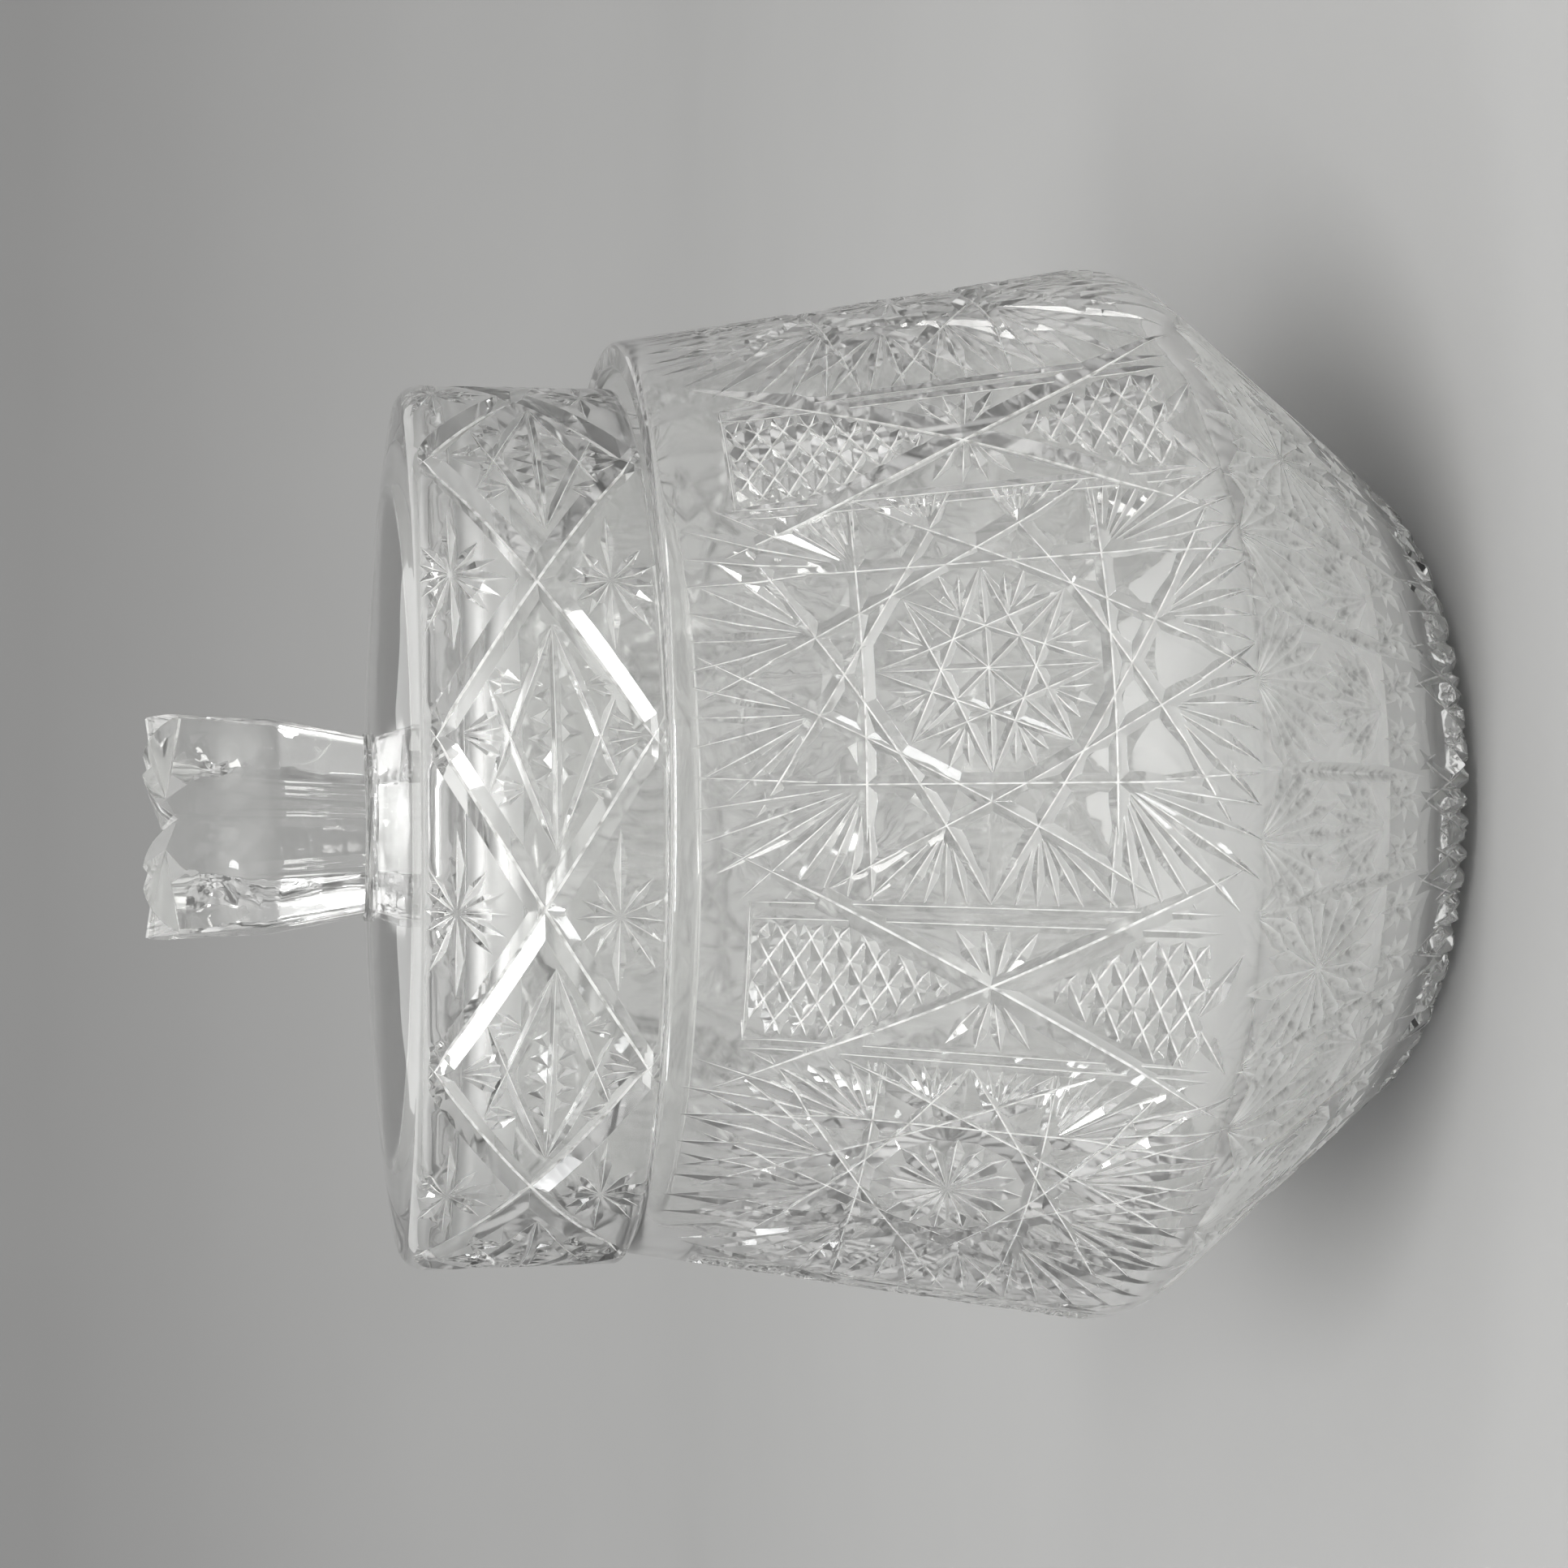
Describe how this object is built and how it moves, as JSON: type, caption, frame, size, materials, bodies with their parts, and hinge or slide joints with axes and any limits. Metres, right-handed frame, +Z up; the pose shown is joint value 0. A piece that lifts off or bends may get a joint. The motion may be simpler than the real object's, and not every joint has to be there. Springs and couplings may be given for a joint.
{
  "type": "biscuit jar",
  "caption": "Clear pressed-glass biscuit jar with a flared body on a tapering foot and a loose drum-shaped lid that lifts off by its six-sided glass knob.",
  "frame": {"origin": "centre of the jar's base on the surface that it stands on", "axes": "+Z up along the jar's axis, -Y towards the front, +X to the right of it"},
  "size_m": [0.177, 0.177, 0.207],
  "materials": {
    "jar_glass": "polished",
    "lid_glass": "polished"
  },
  "bodies": {
    "jar": {"jar": "jar_glass"},
    "lid": {"lid": "lid_glass"}
  },
  "joints": [
    {"name": "lid_lift", "type": "slide", "parent": "jar", "child": "lid", "axis": [0, 0, 1], "range_m": [0, 0.1]}
  ]
}
